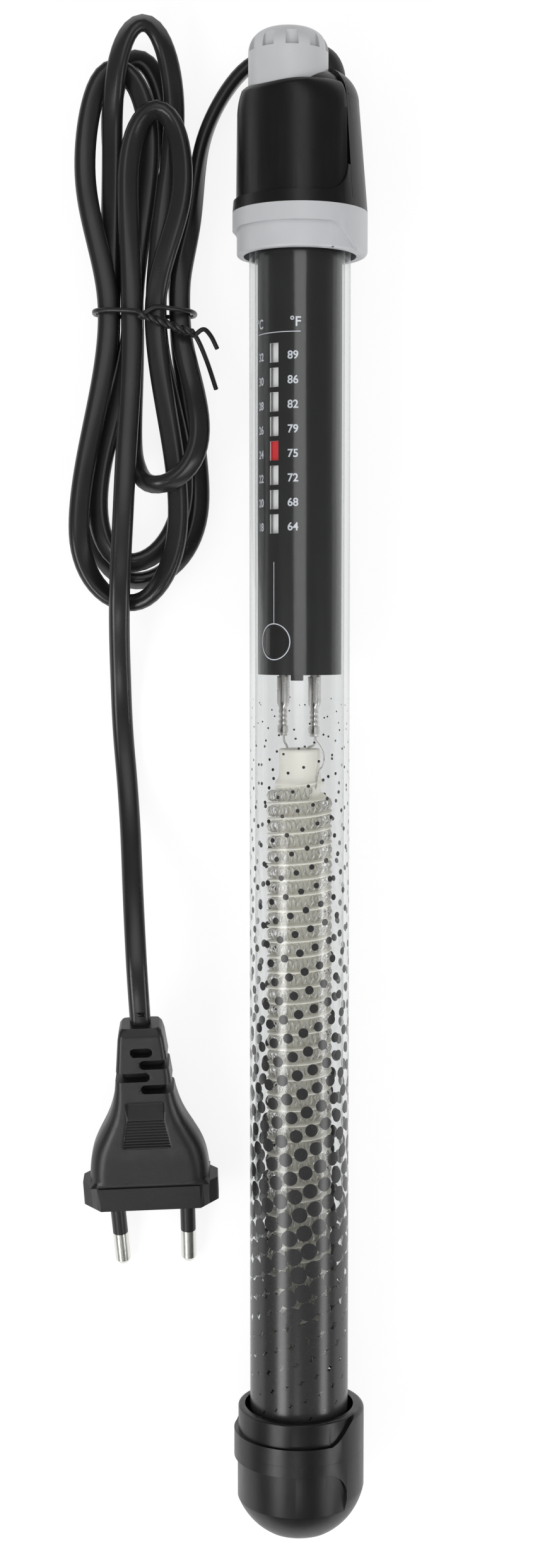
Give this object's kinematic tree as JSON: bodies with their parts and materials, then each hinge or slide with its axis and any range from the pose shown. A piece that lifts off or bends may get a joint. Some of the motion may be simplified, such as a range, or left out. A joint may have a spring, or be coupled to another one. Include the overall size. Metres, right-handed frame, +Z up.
{
  "type": "submersible aquarium heater",
  "caption": "Submersible glass aquarium heater, lying down, with adjustable thermostat dial, window scale, grooved ceramic element and a mains flex tied in a hank",
  "frame": {"origin": "On the surface the heater lies on, under the middle of the heater's box without its flex, plug and tie", "axes": "+Y runs along the tube from the foot to the temperature knob, +Z is up, +X is to the right seen from above with the knob at the top"},
  "size_m": [0.0762, 0.391, 0.0338],
  "materials": {
    "clear_glass": "clear borosilicate tube with a printed dot gradient",
    "black_plastic": "soft satin moulding",
    "grey_plastic": "light grey satin moulding",
    "black_rubber": "satin black",
    "yellow_brass": "turned",
    "plated_steel": "bright plated",
    "white_plastic": "plain",
    "red_plastic": "signal red",
    "dark_sleeve": "dark grey satin with white print",
    "dark_lens": "smoked red-brown lens",
    "lamp_glass": "small neon bulb",
    "white_ceramic": "unglazed cream ceramic",
    "resistance_wire": "fine spiralled wire",
    "brown_insulation": "insulated core"
  },
  "bodies": {
    "heater": {"glass_tube": "clear_glass", "head_collar": "grey_plastic", "head_shell": "black_plastic", "head_gasket": "black_rubber", "foot_collar": "black_plastic", "foot_cup": "black_plastic", "foot_cushion": "black_rubber", "cord_gland": "black_rubber", "dial_bush": "yellow_brass", "dial_o_ring": "black_rubber", "scale_sleeve": "dark_sleeve", "scale_backing": "white_plastic", "lamp_lens": "dark_lens", "neon_lamp": "lamp_glass", "lamp_resistor": "white_ceramic", "carrier_frame": "dark_sleeve", "arm_pin": "plated_steel", "fixed_contact": "plated_steel", "contact_magnet": "plated_steel", "terminal_tabs": "plated_steel", "receptacle_left": "plated_steel", "receptacle_right": "plated_steel", "element_leads": "plated_steel", "supply_wires": "brown_insulation", "ceramic_head": "white_ceramic", "ceramic_former": "white_ceramic", "heating_coil": "resistance_wire", "former_pad": "white_ceramic", "cord_lead": "black_rubber", "cord_hank": "black_rubber", "cord_tail": "black_rubber", "twist_tie": "black_rubber", "plug_body": "black_plastic", "plug_pins": "plated_steel", "pin_sleeves": "black_plastic"},
    "dial": {"temperature_knob": "grey_plastic", "dial_spindle": "plated_steel", "spindle_clip": "plated_steel", "lead_screw": "plated_steel"},
    "pointer": {"pointer_nut": "white_plastic", "pointer_flag": "red_plastic"},
    "contact": {"bimetal_arm": "yellow_brass", "moving_contact": "plated_steel"}
  },
  "joints": [
    {"name": "dial_turn", "type": "hinge", "parent": "heater", "child": "dial", "pos_m": [-0.00296, 0.187, 0.02068], "axis": [0, 1, 0], "range_deg": [-578, 434]},
    {"name": "pointer_slide", "type": "slide", "parent": "heater", "child": "pointer", "axis": [0, 1, 0], "range_m": [-0.0182, 0.0242]},
    {"name": "contact_arm", "type": "hinge", "parent": "heater", "child": "contact", "pos_m": [0.00185, 0.1251, 0.01454], "axis": [0.788, 0, 0.6157], "range_deg": [-0.25, 1.3], "stiffness_Nm_per_rad": 0.004}
  ],
  "couplings": [
    {"joint": "pointer_slide", "follows": "dial_turn", "m_per_rad": -0.0023873}
  ]
}
